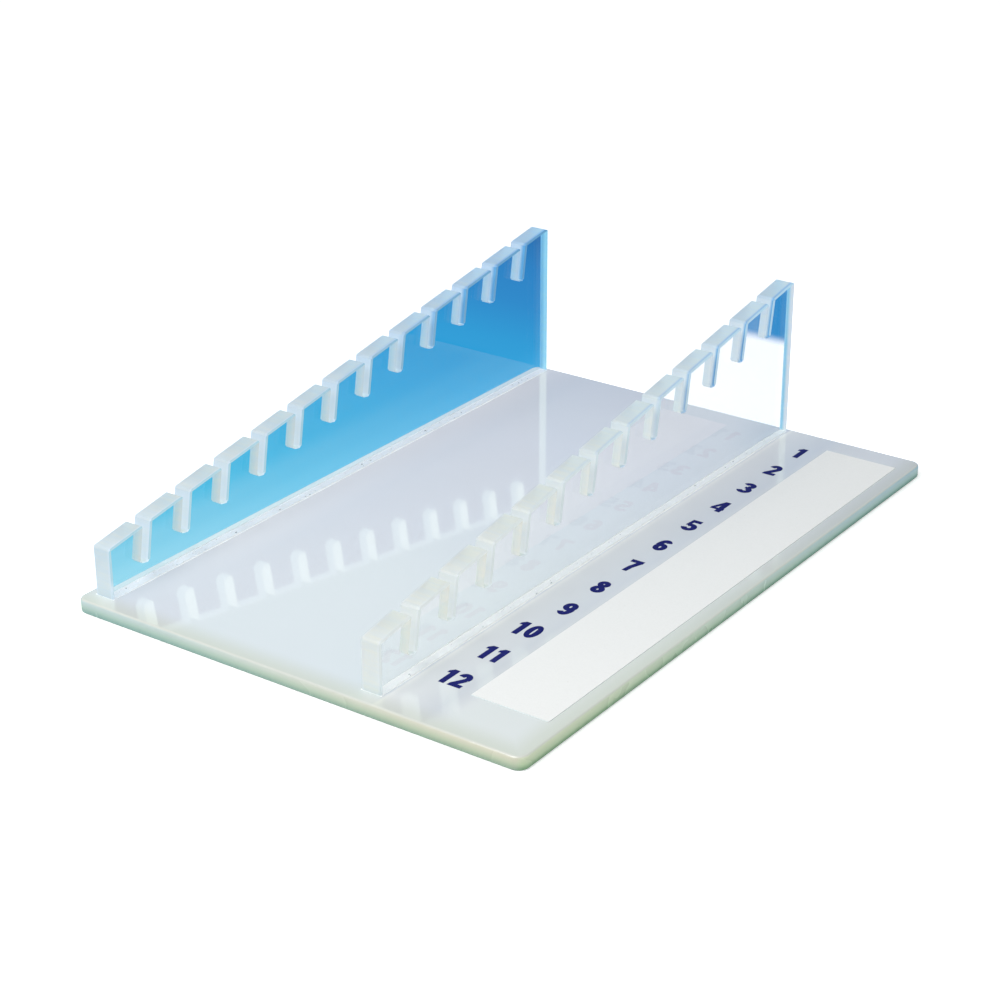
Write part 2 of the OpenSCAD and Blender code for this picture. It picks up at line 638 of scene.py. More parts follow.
    def material(self, low: Vector, high: Vector, left_wall: Limits, band_start: float) -> bpy.types.Material:
        """Makes the material for a plate.

        Args:
            low: the plate's lowest corner.
            high: the plate's highest corner.
            left_wall: where the left wall begins and ends along X.
            band_start: where the printed band begins along X.

        Returns:
            The material.
        """
        sketch = MaterialSketch("opal_acrylic_polished")
        place = sketch.place()
        x, y, z = sketch.axes(place)
        sideways, _, upward = sketch.facing()
        to_front, past_wall = sketch.minus(y, low.y), sketch.minus(x, band_start)
        path = sketch.add("ShaderNodeLightPath").outputs
        face = self.middle_colour(sketch, x, to_front, left_wall, high.y - low.y, path["Is Transmission Ray"])
        band = self.band_colour(sketch, past_wall, to_front, high.x - band_start)
        face = sketch.blend(sketch.span(past_wall, 0.0, self.band_softness), face, band)
        cloud = sketch.noise(place, self.cloud_scale, detail=3.0)
        face = sketch.blend(sketch.span(cloud, *NOISE_LIMITS, 0.0, self.cloud_share), face, self.cloudy)
        # Painted reflection: the plate turns blue where a wall mirrors it.
        face = sketch.washed(face, path["Is Reflection Ray"], self.mirrored_tint)
        inside = sketch.maths("MINIMUM", sketch.minus(high.x, x), to_front)
        strip = sketch.span(inside, self.strip_width, 0.0, 0.0, self.strip_share)
        face = sketch.blend(strip, face, self.strip)
        grain = GRAIN.place(sketch, place, stroke_scale=700.0, grit_scale=3000.0, amount=1.0)
        shares = [sketch.span(part, start, end) for part, start, end in zip((x, y, z), low, high)]
        rim = self.rim_colour(sketch, shares, sideways, grain["Mask"])
        on_rim = sketch.span(upward, *self.rim_limits)
        colour = sketch.blend(on_rim, face, rim)
        dust = DUST.place(sketch, place, speck_scale=520.0, amount=0.35)
        colour = sketch.blend(sketch.times(dust["Mask"], upward), colour, self.dust_colour)
        marks = MARKS.place(sketch, place, smudge_scale=45.0, scratch_scale=420.0, amount=1.0)
        rough = sketch.maths("MULTIPLY_ADD", marks["Mask"], self.marks_roughness, self.roughness)
        rough = sketch.maths("MULTIPLY_ADD", on_rim, self.rim_roughness, rough)
        return sketch.finish(sketch.surface(
            colour, roughness=rough, ior=self.ior,
            normal=sketch.bump(marks["Height"], self.scratch_depth, strength=0.35),
            coat_weight=sketch.minus(1.0, on_rim), coat_roughness=self.polish_roughness,
            coat_ior=self.polish_ior,
        ))


class WallSketch(MaterialSketch):
    """A sketch of a wall's material, with the places and masks that its looks share."""

    polished_limits: Limits = (0.86, 0.94)
    broken_limits: Limits = (0.35, 0.60)
    upright_limits: Limits = (0.6, 0.9)
    grade_start: float = 0.2
    past_end_limits: Limits = (1 * MM, 2 * MM)

    def __init__(self, name: str, low: Vector, high: Vector) -> None:
        """Makes the material, and reads its places and masks.

        Args:
            name: the material's name.
            low: the wall's lowest corner.
            high: the wall's highest corner.
        """
        super().__init__(name)
        self.length = high.y - low.y
        self.spot = self.place()
        x, y, z = self.axes(self.spot)
        self.from_left, self.from_right = self.minus(x, low.x), self.minus(high.x, x)
        self.from_front, self.from_back = self.minus(y, low.y), self.minus(high.y, y)
        self.from_foot = self.minus(z, low.z)
        self.rightward = self.span(x, low.x, high.x)
        self.along = self.span(self.from_front, self.grade_start * self.length, self.length)
        self.past_end = self.span(self.from_front, *self.past_end_limits)
        across, ahead, _ = self.facing()
        self.polished = self.span(across, *self.polished_limits)
        self.broken = self.span(across, *self.broken_limits)
        self.upright = self.span(ahead, *self.upright_limits)
        self.path = self.add("ShaderNodeLightPath").outputs


@dataclass(frozen=True)
class ClearFinish:
    """Clear cast sheet: polished faces, and frosted sawn edges whose leaking light is painted on as a glow.

    The first colour of a pair is for the low end or the left, and the second for the high end or
    the right.
    """

    # The polished faces, and the pale glow that may be painted on them for camera rays, thinning near the
    # high end.
    tint: Colour = (0.992, 0.998, 1.0)
    polished_roughness: float = 0.012
    marks_roughness: float = 0.03
    scratch_depth: float = 0.001 * MM
    veil: Colour = (1.0, 0.97, 0.96)
    veil_share: float = 0.0
    veil_at_back: float = 0.05
    veil_limits: Limits = (5 * MM, 32 * MM)
    # The sawn faces, bluer towards the high end as painted light, with a painted highlight inside their
    # edges.
    sawn: Pair = ((0.64, 0.73, 0.78), (0.53, 0.73, 0.92))
    sawn_warmth: Colour = (1.08, 1.02, 0.95)
    sawn_roughness: float = 0.5
    sawn_clearness: float = 0.45
    grain_depth: float = 0.05 * MM
    border: Colour = (0.74, 0.86, 0.99)
    border_share: float = 0.7
    border_limits: Limits = (0.9 * MM, 0.15 * MM)
    # The deeper blue beside the right face, on the tops and in the slots: painted light from the blue
    # surroundings.
    deep_top: Colour = (0.20, 0.46, 0.80)
    deep_top_width: float = 1.3 * MM
    deep_slot: Colour = (0.10, 0.38, 0.73)
    deep_slot_width: float = 2.2 * MM
    deep_softness: float = 0.3
    deep_slot_start: Limits = (0.54, 0.77)
    # Painted glow for light that leaves the sawn faces, as the plate mirrors it: straight, and through the
    # sheet.
    mirrored_light: Colour = (1.00, 1.18, 1.10)
    mirrored_within: Colour = (0.72, 0.90, 0.92)
    mirrored_share: float = 1.0
    mirrored_at_end: float = 0.45
    # The same painted glow seen through the sheet, and in the tall post at the high end.
    inner_light: Pair = ((0.570, 0.675, 0.695), (0.475, 0.69, 0.862))
    inner_tints: Pair = ((0.78, 0.95, 1.02), (1.16, 1.05, 1.03))
    inner_share: float = 0.7
    post_tints: Pair = ((0.40, 0.80, 0.97), (0.64, 1.10, 1.17))
    post_turn: float = 0.6
    post_limits: Limits = (1.5 * MM, 1 * MM)
    # The same painted glow on the slots' backs and on the broken edges.
    slot_light: Colour = (0.66, 0.77, 0.95)
    slot_share: float = 0.35
    edge_light: Pair = ((0.43, 0.66, 0.76), (0.132, 0.333, 0.557))
    edge_share: float = 0.85
    edge_limits: Limits = (2 * MM, 5 * MM)
    # How much light goes on through the wall to what lies in its shade.
    polished_shade: Colour = (0.975, 0.985, 0.99)
    sawn_shade: Colour = (0.55, 0.58, 0.60)
    ior: float = 1.49

    def polished_face(self, sketch: WallSketch) -> Socket:
        """Makes the clear face with its handling marks, and its painted pale glow if it has one.

        Args:
            sketch: the material's sketch.

        Returns:
            The shader.
        """
        marks = MARKS.place(sketch, sketch.spot, smudge_scale=70.0, scratch_scale=520.0, amount=1.0)
        rough = sketch.maths("MULTIPLY_ADD", marks["Mask"], self.marks_roughness, self.polished_roughness)
        clear = sketch.surface(
            self.tint, roughness=rough, ior=self.ior, transmission_weight=1.0,
            normal=sketch.bump(marks["Height"], self.scratch_depth, strength=0.25),
        )
        if not self.veil_share:
            return clear
        # Painted light: a pale glow that only camera rays see.
        thinnest = self.veil_at_back * self.veil_share
        veil = sketch.span(sketch.from_back, *self.veil_limits, thinnest, self.veil_share)
        return sketch.mixed(sketch.times(veil, sketch.path["Is Camera Ray"]), clear, sketch.glow(self.veil))

    def deep_mask(self, sketch: WallSketch) -> Socket:
        """Masks the painted deeper blue, which starts later and reaches further in the slots than on the
        tops.

        Args:
            sketch: the material's sketch.

        Returns:
            The mask.
        """
        reach = sketch.span(sketch.upright, 0.0, 1.0, self.deep_top_width, self.deep_slot_width)
        beside = sketch.span(sketch.maths("DIVIDE", sketch.from_right, reach), 1.0, self.deep_softness)
        in_slot = sketch.span(sketch.from_front, *(share * sketch.length for share in self.deep_slot_start))
        later = sketch.minus(in_slot, sketch.along)
        return sketch.times(beside, sketch.maths("MULTIPLY_ADD", sketch.upright, later, sketch.along))

    def sawn_face(self, sketch: WallSketch, grain: dict[str, Socket], deep: Socket) -> Socket:
        """Makes the frosted sawn face, with its painted light, blue and highlight.

        Args:
            sketch: the material's sketch.
            grain: the saw's marks.
            deep: the mask of the deeper blue.

        Returns:
            The shader.
        """
        # The core turns bluer towards the high end: painted light.
        core = sketch.washed(sketch.blend(sketch.along, *self.sawn), grain["Mask"], self.sawn_warmth)
        # Painted highlight inside the edges.
        inside = sketch.maths("MINIMUM", sketch.from_left, sketch.from_right)
        border = sketch.span(inside, *self.border_limits, 0.0, self.border_share)
        core = sketch.blend(border, core, self.border)
        # Painted blue light beside the right face.
        core = sketch.blend(deep, core, sketch.blend(sketch.upright, self.deep_top, self.deep_slot))
        return sketch.surface(
            core, roughness=self.sawn_roughness, ior=self.ior, transmission_weight=self.sawn_clearness,
            normal=sketch.bump(grain["Height"], self.grain_depth, strength=0.6),
        )

    def inner_colour(self, sketch: WallSketch, grain: Socket) -> Socket:
        """Colours the painted glow of the sawn faces that are seen through the sheet.

        Args:
            sketch: the material's sketch.
            grain: the saw's marks.

        Returns:
            The colour.
        """
        light = sketch.washed(sketch.blend(sketch.along, *self.inner_light), grain, self.sawn_warmth)
        light = sketch.tinted(light, sketch.blend(sketch.rightward, *self.inner_tints))
        tint = sketch.blend(sketch.span(sketch.rightward, 0.0, self.post_turn), *self.post_tints)
        return sketch.washed(light, sketch.span(sketch.from_back, *self.post_limits), tint)

    def leaks(self, sketch: WallSketch, grain: Socket, deep: Socket) -> list[tuple[Value, float, Value]]:
        """Lists the painted glows that stand for light leaving the sawn faces, by the kind of ray that meets
        it.

        Args:
            sketch: the material's sketch.
            grain: the saw's marks.
            deep: the mask of the deeper blue, which the slots' light leaves out.

        Returns:
            The mask, the share and the colour of each painted glow.
        """
        path = sketch.path
        depth, direct, through = path["Ray Depth"], path["Is Camera Ray"], path["Is Transmission Ray"]
        first, second = sketch.is_number(depth, 1), sketch.is_number(depth, 2)
        one_bounce = sketch.is_number(sketch.minus(depth, path["Transmission Depth"]), 1)
        end = sketch.span(sketch.from_front, *sketch.past_end_limits, self.mirrored_at_end, 1.0)
        in_slot = sketch.times(sketch.upright, sketch.past_end, direct, sketch.minus(1.0, deep))
        on_edge = sketch.times(sketch.broken, direct, sketch.span(sketch.from_foot, *self.edge_limits))
        return [
            (sketch.times(first, path["Is Reflection Ray"], end), self.mirrored_share, self.mirrored_light),
            (sketch.times(second, one_bounce, through), self.mirrored_share, self.mirrored_within),
            (sketch.times(first, through), self.inner_share, self.inner_colour(sketch, grain)),
            (in_slot, self.slot_share, self.slot_light),
            (on_edge, self.edge_share, sketch.blend(sketch.along, *self.edge_light)),
        ]

    def material(self, side: Side, low: Vector, high: Vector) -> bpy.types.Material:
        """Makes the material for a wall.

        Args:
            side: which wall it is for.
            low: the wall's lowest corner.
            high: the wall's highest corner.

        Returns:
            The material.
        """
        sketch = WallSketch(f"clear_acrylic_{side.value}", low, high)
        grain = GRAIN.place(sketch, sketch.spot, stroke_scale=1100.0, grit_scale=5200.0, amount=1.0)
        deep = self.deep_mask(sketch)
        sawn = self.sawn_face(sketch, grain, deep)
        # Painted glows, mixed into the sawn face as emission.
        for mask, share, colour in self.leaks(sketch, grain["Mask"], deep):
            sawn = sketch.mixed(sketch.times(mask, share), sawn, sketch.glow(colour))
        seen = sketch.mixed(sketch.polished, sawn, self.polished_face(sketch))
        shade = sketch.blend(sketch.polished, self.sawn_shade, self.polished_shade)
        passed = sketch.add("ShaderNodeBsdfTransparent", {"Color": shade}).outputs[0]
        return sketch.finish(sketch.mixed(sketch.path["Is Shadow Ray"], seen, passed))


CLEAR_SHEET = ClearFinish()
# The right wall's sheet: the same clear acrylic, with its painted light, glows and highlight paler and less
# blue.
PALER_LIT_SHEET = ClearFinish(
    tint=(1.0, 1.0, 1.0), veil_share=0.15, sawn=((0.73, 0.785, 0.79), (0.60, 0.75, 0.87)),
    sawn_warmth=(1.06, 1.02, 0.95), border=(0.76, 0.82, 0.87), deep_slot_width=1.3 * MM, mirrored_share=0.45,
    inner_light=((0.70, 0.76, 0.70), (0.69, 0.83, 0.91)), inner_tints=((0.92, 0.97, 1.0), (1.06, 1.02, 1.0)),
    post_tints=((0.35, 0.78, 1.0), (1.08, 1.02, 1.02)), slot_light=(0.87, 0.90, 0.94),
    edge_light=((0.74, 0.79, 0.78), (0.60, 0.81, 0.90)), edge_share=0.6,
)


@dataclass(frozen=True)
class LabelFinish:
    """Matte white film that takes a pencil or a pen."""

    colour: Colour = (0.86, 0.87, 0.86)
    fibre: Colour = (0.79, 0.80, 0.79)
    fibre_limits: Limits = (0.35, 0.75)
    fibre_share: float = 0.35
    dust_colour: Colour = (0.62, 0.62, 0.60)
    roughness: Limits = (0.47, 0.60)
    tooth_scale: float = 2600.0
    tooth_depth: float = 0.012 * MM
    ior: float = 1.45

    def material(self) -> bpy.types.Material:
        """Makes the material.

        Returns:
            The material.
        """
        sketch = MaterialSketch("write_on_film")
        place = sketch.place()
        tooth = sketch.noise(place, self.tooth_scale, detail=3.0, roughness=0.6)
        fibres = sketch.span(tooth, *self.fibre_limits, 0.0, self.fibre_share)
        colour = sketch.blend(fibres, self.colour, self.fibre)
        dust = DUST.place(sketch, place, speck_scale=480.0, amount=0.25)
        colour = sketch.blend(dust["Mask"], colour, self.dust_colour)
        rough = sketch.span(tooth, *NOISE_LIMITS, *self.roughness)
        normal = sketch.bump(tooth, self.tooth_depth, strength=0.5)
        return sketch.finish(sketch.surface(colour, roughness=rough, ior=self.ior, normal=normal))


@dataclass(frozen=True)
class InkFinish:
    """Screen-printed navy ink."""

    colour: Colour = (0.006, 0.008, 0.125)
    thin: Colour = (0.014, 0.018, 0.170)
    thin_limits: Limits = (0.4, 0.75)
    roughness: Limits = (0.49, 0.63)
    mesh_scale: float = 1500.0
    mesh_depth: float = 0.004 * MM
    ior: float = 1.18

    def material(self) -> bpy.types.Material:
        """Makes the material.

        Returns:
            The material.
        """
        sketch = MaterialSketch("navy_print")
        mesh_marks = sketch.noise(sketch.place(), self.mesh_scale)
        colour = sketch.blend(sketch.span(mesh_marks, *self.thin_limits), self.colour, self.thin)
        rough = sketch.span(mesh_marks, *NOISE_LIMITS, *self.roughness)
        normal = sketch.bump(mesh_marks, self.mesh_depth, strength=0.4)
        return sketch.finish(sketch.surface(colour, roughness=rough, ior=self.ior, normal=normal))


@dataclass(frozen=True)
class BubbleFinish:
    """Air trapped in the cement, which looks dark against it."""

    middle: Colour = (0.16, 0.18, 0.20)
    edge: Colour = (0.50, 0.52, 0.54)
    middle_limits: Limits = (0.4, 0.9)
    roughness: Limits = (0.14, 0.30)
    cloud_scale: float = 4000.0
    ior: float = 1.3

    def material(self) -> bpy.types.Material:
        """Makes the material.

        Returns:
            The material.
        """
        sketch = MaterialSketch("trapped_air")
        _, _, upward = sketch.facing()
        colour = sketch.blend(sketch.span(upward, *self.middle_limits), self.edge, self.middle)
        cloud = sketch.noise(sketch.place(), self.cloud_scale)
        rough = sketch.span(cloud, *NOISE_LIMITS, *self.roughness)
        return sketch.finish(sketch.surface(colour, roughness=rough, ior=self.ior))


@dataclass(frozen=True)
class CementFinish:
    """Dried solvent cement: clear, a little milky, with small bubbles."""

    body: Colour = (0.92, 0.95, 0.98)
    milky: Colour = (0.86, 0.86, 0.86)
    milky_limits: Limits = (0.4, 0.7)
    roughness: Limits = (0.10, 0.28)
    cloud_scale: float = 900.0
    cloud_depth: float = 0.02 * MM
    # Painted light: a faint glow in the cement's own colour.
    piped_light: float = 0.16
    ior: float = 1.46

    def material(self) -> bpy.types.Material:
        """Makes the material.

        Returns:
            The material.
        """
        sketch = MaterialSketch("solvent_cement")
        cloud = sketch.noise(sketch.place(), self.cloud_scale)
        colour = sketch.blend(sketch.span(cloud, *self.milky_limits), self.body, self.milky)
        rough = sketch.span(cloud, *NOISE_LIMITS, *self.roughness)
        return sketch.finish(sketch.surface(
            colour, roughness=rough, ior=self.ior, emission_color=colour, emission_strength=self.piped_light,
            normal=sketch.bump(cloud, self.cloud_depth, strength=0.4),
        ))


# ------------------------------------------------------------------------------------ mesh helpers


def new_piece(name: str, shape: Shape, *materials: bpy.types.Material) -> bpy.types.Object:
    """Makes an object from a finished mesh, and lets it ride on the rack.

    Args:
        name: the piece's name.
        shape: its mesh, which is used up.
        materials: its materials, in the order of the faces' numbers.

    Returns:
        The object.
    """
    bmesh.ops.recalc_face_normals(shape, faces=shape.faces)
    mesh = bpy.data.meshes.new(name)
    shape.to_mesh(mesh)
    shape.free()
    for material in materials:
        mesh.materials.append(material)
    piece = bpy.data.objects.new(name, mesh)
    bpy.context.scene.collection.objects.link(piece)
    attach(piece, BODY)
    return piece


def arc_points(centre: Point, radii: Point, start: float, end: float, steps: int = 14) -> list[Point]:
    """Points along part of an ellipse.

    Args:
        centre: the ellipse's centre.
        radii: its half width and half height.
        start: the first angle, in degrees.
        end: the last angle, in degrees.
        steps: how many pieces the arc is cut into.

    Returns:
        The points, in order.
    """
    angles = [math.radians(start + (end - start) * i / steps) for i in range(steps + 1)]
    return [(centre[0] + radii[0] * math.cos(a), centre[1] + radii[1] * math.sin(a)) for a in angles]


def block(left: float, bottom: float, right: float, top: float) -> Patch:
    """Draws an upright rectangle."""
    return [(left, bottom), (right, bottom), (right, top), (left, top)]


def ribbon(path: Sequence[Point], width: float) -> list[Patch]:
    """Thickens a line into a row of four-sided patches.

    Args:
        path: the line's points.
        width: the ribbon's width.

    Returns:
        The patches, each as its corners.
    """
    sides: list[tuple[Point, Point]] = []
    for i, (x, y) in enumerate(path):
        before = path[max(i - 1, 0)]
        after = path[min(i + 1, len(path) - 1)]
        run = Vector((after[0] - before[0], after[1] - before[1])).normalized() * (width / 2)
        sides.append(((x - run.y, y + run.x), (x + run.y, y - run.x)))
    return [[a[0], a[1], b[1], b[0]] for a, b in zip(sides, sides[1:])]


def ring(centre: Point, radii: Point, width: float, steps: int = 36) -> list[Patch]:
    """Cuts an elliptical ring into a row of four-sided patches.

    Args:
        centre: the ring's centre.
        radii: its outer half width and half height.
        width: how wide the band is.
        steps: how many patches there are.

    Returns:
        The patches, each as its corners.
    """
    outer = arc_points(centre, radii, 0, 360, steps)
    inner = arc_points(centre, (radii[0] - width, radii[1] - width), 0, 360, steps)
    return [[outer[i], outer[i + 1], inner[i + 1], inner[i]] for i in range(steps)]


# ----------------------------------------------------------------------------------- sub-assemblies


@dataclass
class BasePlate:
    """The opal plate that carries everything."""

    finish: OpalFinish = field(default_factory=OpalFinish)
    node: str = "base_plate"

    def build(self) -> None:
        """Dresses the plate."""
        low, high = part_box(self.node)
        left_low, left_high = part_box(Side.LEFT.value)
        _, right_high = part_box(Side.RIGHT.value)
        finish = self.finish.material(low, high, (left_low.x, left_high.x), right_high.x)
        frame["nodes"][self.node].material_slots[0].material = finish
        LOG.info("%s: opal sheet, %.1f x %.1f mm", self.node, (high.x - low.x) / MM, (high.y - low.y) / MM)


@dataclass
class SlottedWall:
    """One clear wall, with the cement along its foot."""

    side: Side
    finish: ClearFinish
    seed: int
    cement: CementFinish = field(default_factory=CementFinish)
    film: float = 0.03 * MM
    sunk: float = 0.02 * MM
    # The bead's size, its mean as a share of that, and its waves: radians along it, and depth.
    bead: float = 0.28 * MM
    bead_mean: float = 0.85
    bead_waves: tuple[tuple[float, float], ...] = ((31, 0.16), (83, 0.12), (211, 0.10))
    bead_unevenness: float = 0.05
    bead_end: float = 0.3 * MM
    bead_steps: int = 260
    tip_share: float = 0.2
    tip_growth: float = 12.0
    # The bubbles, which keep clear of the wall's faces and ends, and are mostly small.
    air: BubbleFinish = field(default_factory=BubbleFinish)
    bubbles: int = 70
    bubble_size: Limits = (0.06 * MM, 0.34 * MM)
    bubble_rarity: int = 4
    bubble_flatness: float = 0.35
    bubble_from_face: float = 0.6 * MM
    bubble_from_end: float = 2 * MM

    def build(self) -> None:
        """Dresses the wall and runs the cement along its foot."""
        low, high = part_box(self.side.value)
        node = frame["nodes"][self.side.value]
        node.material_slots[0].material = self.finish.material(self.side, low, high)
        shape = bmesh.new()
        chance = random.Random(self.seed)
        self.spread_film(shape, low, high)
        self.run_bead(shape, chance, low.x, -1.0, low, high)
        self.run_bead(shape, chance, high.x, 1.0, low, high)
        self.scatter_bubbles(shape, chance, low, high)
        name = self.side.value.replace("wall", "cement_line")
        piece = new_piece(name, shape, self.cement.material(), self.air.material())
        LOG.info("%s: clear sheet, %.1f mm high; %s has %d faces", self.side.value,
                 (high.z - low.z) / MM, name, len(piece.data.polygons))

    def spread_film(self, shape: Shape, low: Vector, high: Vector) -> None:
        """Spreads the thin film of cement that fills the joint under the wall.

        Args:
            shape: the mesh that it goes in.
            low: the wall's lowest corner.
            high: the wall's highest corner.
        """
        past = 2 * self.film
        size = (high.x - low.x + 2 * past, high.y - low.y + 2 * past, self.film + self.sunk, 1.0)
        middle = ((low.x + high.x) / 2, (low.y + high.y) / 2, low.z + (self.film - self.sunk) / 2)
        bmesh.ops.create_cube(shape, size=1.0, matrix=Matrix.Translation(middle) @ Matrix.Diagonal(size))

    def run_bead(self, shape: Shape, chance: random.Random, x: float, out: float,
                 low: Vector, high: Vector) -> None:
        """Runs one thin, uneven, hollow-faced bead between the plate and a wall face.

        Args:
            shape: the mesh that it goes in.
            chance: the source of its unevenness.
            x: the wall face's place.
            out: the direction away from the wall along X.
            low: the wall's lowest corner.
            high: the wall's highest corner.
        """
        waves = [(turns, depth, chance.uniform(0, math.tau)) for turns, depth in self.bead_waves]
        uneven = self.bead_unevenness
        rings = []
        for i in range(self.bead_steps + 1):
            share = i / self.bead_steps
            y = low.y + self.bead_end + share * (high.y - low.y - 2 * self.bead_end)
            wave = sum(depth * math.sin(turns * share + phase) for turns, depth, phase in waves)
            size = self.bead * (self.bead_mean + wave + chance.uniform(-uneven, uneven))
            size *= min(1.0, self.tip_share + self.tip_growth * min(share, 1 - share))
            hollow = arc_points((size, size), (size, size), 180, 270, 4)
            section = [(-self.sunk, -self.sunk), (-self.sunk, size), *hollow[1:-1], (size, -self.sunk)]
            rings.append([shape.verts.new((x + out * a, y, low.z + b)) for a, b in section])
        for first, second in zip(rings, rings[1:]):
            count = len(first)
            for j in range(count):
                shape.faces.new((first[j], first[(j + 1) % count], second[(j + 1) % count], second[j]))
        shape.faces.new(rings[0])
        shape.faces.new(rings[-1])

    def scatter_bubbles(self, shape: Shape, chance: random.Random, low: Vector, high: Vector) -> None:
        """Scatters flat bubbles through the cement under the wall.

        Args:
            shape: the mesh that they go in.
            chance: the source of their places and sizes.
            low: the wall's lowest corner.
            high: the wall's highest corner.
        """
        smallest, largest = self.bubble_size
        flat = Matrix.Diagonal((1.0, 1.0, self.bubble_flatness, 1.0))
        for _ in range(self.bubbles):
            size = smallest + (largest - smallest) * chance.random() ** self.bubble_rarity
            x = chance.uniform(low.x + self.bubble_from_face, high.x - self.bubble_from_face)
            y = chance.uniform(low.y + self.bubble_from_end, high.y - self.bubble_from_end)
            spot = Matrix.Translation((x, y, low.z + self.film)) @ flat
            bubble = bmesh.ops.create_icosphere(shape, subdivisions=2, radius=size, matrix=spot)
            for face in {face for vert in bubble["verts"] for face in vert.link_faces}:
                face.material_index = 1


@dataclass
class WriteOnLabel:
    """The write-on strip beside the numbers."""

    finish: LabelFinish = field(default_factory=LabelFinish)
    node: str = "write_on_label"

    def build(self) -> None:
        """Dresses the label."""
        frame["nodes"][self.node].material_slots[0].material = self.finish.material()
        low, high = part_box(self.node)
        LOG.info("%s: matte film, %.1f x %.1f mm", self.node, (high.x - low.x) / MM, (high.y - low.y) / MM)


@dataclass
class PrintedNumbers:
    """The printed numbers, one beside each slot."""

    finish: InkFinish = field(default_factory=InkFinish)
    height: float = 5.85 * MM
    digit_width: float = 0.54
    stroke: float = 0.23
    thin_stroke: float = 0.95
    gap: float = 0.13
    ink_thickness: float = 0.02 * MM
    sunk: float = 0.01 * MM
    past_slot: float = 3.0 * MM
    row_share: float = 0.9855
    single_right: float = 2.1 * MM
    double_right: float = 0.55 * MM
    weld: float = 1e-7

    def glyph(self, digit: str) -> tuple[list[Patch], float]:
        """Draws one digit, one unit high.

        Args:
            digit: the digit.

        Returns:
            Its overlapping patches, and its width.
        """
        pen = self.stroke
        half = pen / 2
        width = self.digit_width
        middle = width / 2
        reach = (width - pen) / 2
        under_top = 1 - self.thin_stroke * pen
        if digit == "0":
            return ring((middle, 0.5), (middle, 0.5), pen), width
        if digit == "1":
            flag = [(0.17, 1.0), (0.02, 0.85), (0.02, 0.70), (0.17, 0.74)]
            return [block(0.14, 0.0, 0.14 + pen, 1.0), flag], 0.14 + pen
        if digit == "2":
            bowl = arc_points((middle, 0.69), (reach, 0.31 - half), 172, -28, 20)
            neck = [bowl[-1], (0.15, 0.16)]
            foot = [(0.0, 0.0), (width, 0.0), (width, pen * 0.9), (0.03, pen * 0.9)]
            heel = [(0.0, 0.0), (0.2, 0.0), (0.2, pen), (0.05, pen)]
            return [*ribbon(bowl, pen), *ribbon(neck, pen), foot, heel], width
        if digit == "3":
            upper = arc_points((0.25, 0.735), (0.175, 0.265 - half), 165, -90, 20)
            lower = arc_points((0.25, 0.290), (0.195, 0.290 - half), 90, -165, 22)
            return [*ribbon(upper, pen), *ribbon(lower, pen), block(0.17, 0.45, 0.30, 0.60)], width
        if digit == "4":
            slope = [(0.0, 0.34), (0.17, 0.34), (0.42, 0.86), (0.42, 1.0), (0.30, 1.0)]
            return [block(0.30, 0.0, 0.30 + pen, 1.0), block(0.0, 0.20, 0.57, 0.36), slope], 0.57
        if digit == "5":
            back = [(0.02, 0.46), (0.18, 0.50), (0.24, 1.0), (0.08, 1.0)]
            bowl = arc_points((0.25, 0.325), (0.195, 0.325 - half), 138, -165, 26)
            return [block(0.09, under_top, 0.50, 1.0), back, *ribbon(bowl, pen)], width
        if digit == "7":
            right_side = [(0.31, 0.0), (0.36, 0.36), (0.53, 0.84), (0.53, 0.95)]
            leg = [(0.11, 0.0), *right_side, (0.32, 0.90), (0.16, 0.42)]
            return [block(0.0, under_top, 0.53, 1.0), leg], 0.53
        if digit == "8":
            upper = ring((middle, 0.745), (0.245, 0.255), 0.94 * pen)
            return [*upper, *ring((middle, 0.285), (middle, 0.285), pen)], width
        back = arc_points((middle + 0.02, 0.5), (reach + 0.02, 0.5 - half), 185, 40, 22)
        patches = [*ring((middle, 0.315), (middle, 0.315), pen), *ribbon(back, pen)]
        if digit == "9":
            patches = [[(width - x, 1 - y) for x, y in patch] for patch in patches]
        return patches, width

    def outline(self, number: str) -> tuple[list[Vector], list[tuple[int, ...]]]:
        """Joins the patches of a number into clean triangles, centred on its middle.

        Args:
            number: the number, as its digits.

        Returns:
            Flat points in metres, and triangles between them.
        """
        patches: list[Patch] = []
        pen = 0.0
        for digit in number:
            drawn, width = self.glyph(digit)
            patches += [[(x + pen, y) for x, y in patch] for patch in drawn]
            pen += width + self.gap
        middle = (pen - self.gap) / 2
        corners: list[Vector] = []
        faces: list[list[int]] = []
        for patch in patches:
            turn = sum(a[0] * b[1] - b[0] * a[1] for a, b in zip(patch, patch[1:] + patch[:1]))
            ordered = patch if turn > 0 else patch[::-1]
            faces.append(list(range(len(corners), len(corners) + len(ordered))))
            corners += [Vector(((x - middle) * self.height, (y - 0.5) * self.height)) for x, y in ordered]
        points, _, triangles, _, _, sources = delaunay_2d_cdt(corners, [], faces, 1, self.weld)
        return points, [triangle for triangle, source in zip(triangles, sources) if source]

    def ink_shape(self, number: str, x: float, y: float, face: float) -> Shape:
        """Gives a number its thickness.

        Args:
            number: the number, as its digits.
            x: the place of its middle across the plate.
            y: the place of its middle along the plate.
            face: the height of the plate's face.

        Returns:
            The mesh of a closed, thin piece of ink.
        """
        points, triangles = self.outline(number)
        shape = bmesh.new()
        upper, lower = (
            [shape.verts.new((x + point.x, y + point.y, height)) for point in points]
            for height in (face + self.ink_thickness, face - self.sunk)
        )
        for a, b, c in triangles:
            shape.faces.new((upper[a], upper[b], upper[c]))
            shape.faces.new((lower[c], lower[b], lower[a]))
        shape.verts.index_update()
        count = len(points)
        for edge in [e for e in shape.edges if len(e.link_faces) == 1 and e.verts[0].index < count]:
            a, b = edge.verts[0].index, edge.verts[1].index
            shape.faces.new((upper[a], upper[b], lower[b], lower[a]))
        bmesh.ops.delete(shape, geom=[v for v in shape.verts if not v.link_faces], context="VERTS")
        return shape

